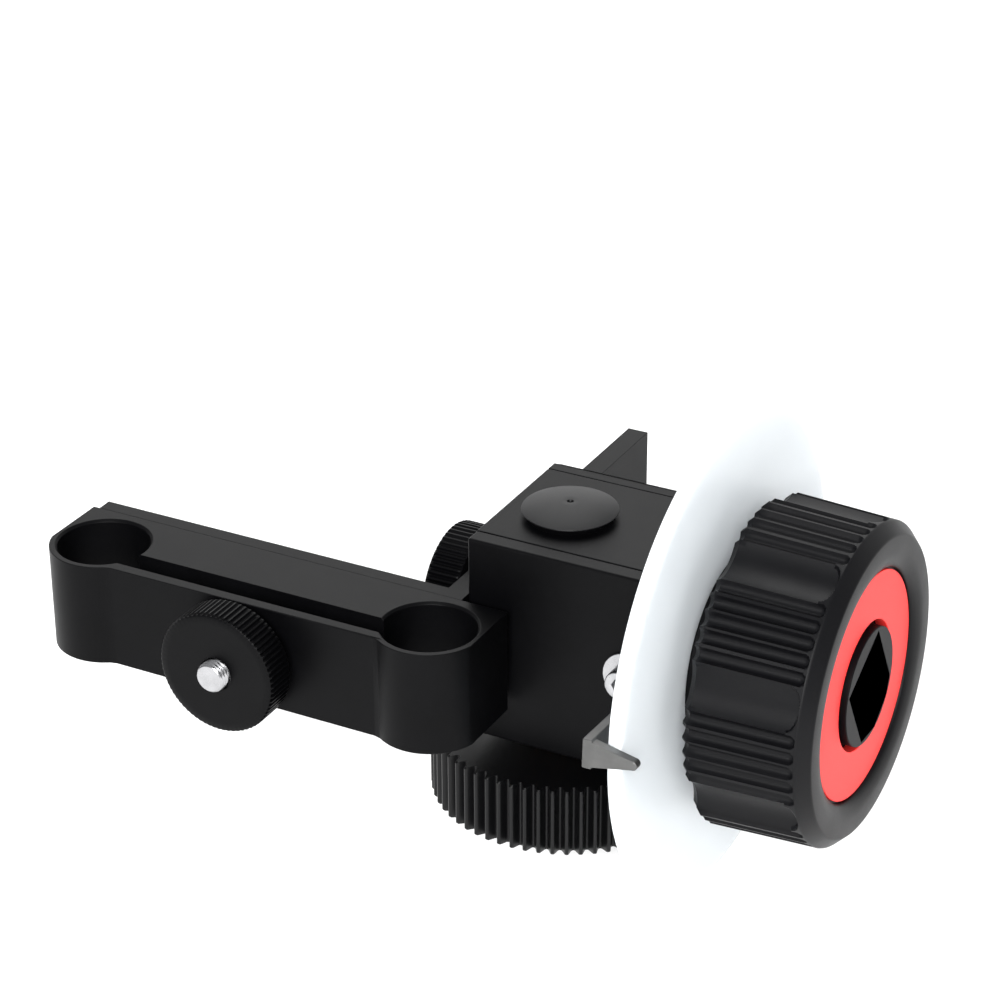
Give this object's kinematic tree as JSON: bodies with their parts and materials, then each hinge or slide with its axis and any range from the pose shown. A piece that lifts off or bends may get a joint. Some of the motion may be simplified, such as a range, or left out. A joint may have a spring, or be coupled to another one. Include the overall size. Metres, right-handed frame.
{
  "type": "follow focus unit",
  "caption": "Rod-clamped focus drive: a hand wheel with a white marking disc turns a toothed drive gear through a right-angle gear head that slides on an arm.",
  "frame": {"origin": "centre of the near rod bore, halfway down the clamp", "axes": "+Z along the rods, away from the drive gear; +X along the hand wheel's axis, towards the wheel; +Y along the arm, away from the clamp"},
  "size_m": [0.1311, 0.093, 0.0774],
  "materials": {
    "black_alloy": "satin black anodised aluminium",
    "knob_black": "black anodised knurled aluminium",
    "cap_black": "smooth black plastic cap",
    "gear_black": "black moulded acetal gear",
    "socket_black": "black anodised aluminium, satin",
    "grip_rubber": "soft black moulded rubber",
    "ring_red": "red anodised aluminium, satin",
    "disc_white": "white wipe-clean plastic",
    "pointer_alloy": "bare satin aluminium",
    "bright_steel": "bright zinc-plated steel",
    "dark_steel": "blackened steel",
    "bronze": "plain bearing bronze"
  },
  "bodies": {
    "clamp_frame": {"rod_clamp": "black_alloy", "slide_bracket": "black_alloy", "bracket_screws": "dark_steel", "clamp_stud": "bright_steel"},
    "clamp_nut_body": {"clamp_nut": "knob_black", "clamp_washer": "bright_steel"},
    "gear_head": {"gear_case": "black_alloy", "front_cover": "black_alloy", "rear_cover": "black_alloy", "rear_cover_screws": "dark_steel", "cover_screw": "bright_steel", "cover_washer": "bright_steel", "dome_cap": "cap_black", "upper_bush": "bronze", "lower_bush": "bronze", "shaft_bush": "bronze", "guide_key": "bright_steel", "key_screws": "dark_steel", "pointer_spring": "bright_steel", "pointer_clip": "dark_steel"},
    "lock_knob_body": {"lock_knob": "knob_black", "lock_stud": "bright_steel", "lock_washer": "bright_steel"},
    "pointer_body": {"pointer": "pointer_alloy"},
    "wheel": {"wheel_shaft": "bright_steel", "bevel_pinion": "bronze", "shaft_clip": "dark_steel", "marking_disc": "disc_white", "disc_hub": "black_alloy", "wheel_core": "black_alloy", "wheel_grip": "grip_rubber", "face_ring": "ring_red", "crank_socket": "socket_black", "wheel_screw": "dark_steel"},
    "drive": {"drive_shaft": "bright_steel", "bevel_gear": "bronze", "drive_clip": "dark_steel", "drive_gear": "gear_black", "gear_spacer": "bright_steel", "gear_washer": "bright_steel", "gear_screw": "dark_steel"}
  },
  "joints": [
    {"name": "clamp_nut_turn", "type": "hinge", "parent": "clamp_frame", "child": "clamp_nut_body", "pos_m": [-0.03, -0.0115, -0.0003], "axis": [0, 1, 0], "range_deg": [-360, 0]},
    {"name": "head_slide", "type": "slide", "parent": "clamp_frame", "child": "gear_head", "axis": [0, 1, 0], "range_m": [-0.0015, 0.03]},
    {"name": "lock_knob_turn", "type": "hinge", "parent": "gear_head", "child": "lock_knob_body", "pos_m": [-0.0072, 0.02562, 0.00165], "axis": [1, 0, 0], "range_deg": [-360, 0]},
    {"name": "pointer_swing", "type": "hinge", "parent": "gear_head", "child": "pointer_body", "pos_m": [0.03435, 0.02562, 0.00165], "axis": [1, 0, 0], "range_deg": [-60, 60]},
    {"name": "wheel_spin", "type": "hinge", "parent": "gear_head", "child": "wheel", "pos_m": [0.0365, 0.02562, 0.00165], "axis": [1, 0, 0], "continuous": true},
    {"name": "drive_spin", "type": "hinge", "parent": "gear_head", "child": "drive", "pos_m": [0.0111, 0.02562, -0.0241], "axis": [0, 0, 1], "continuous": true}
  ],
  "couplings": [
    {"joint": "drive_spin", "follows": "wheel_spin", "ratio": 1}
  ]
}
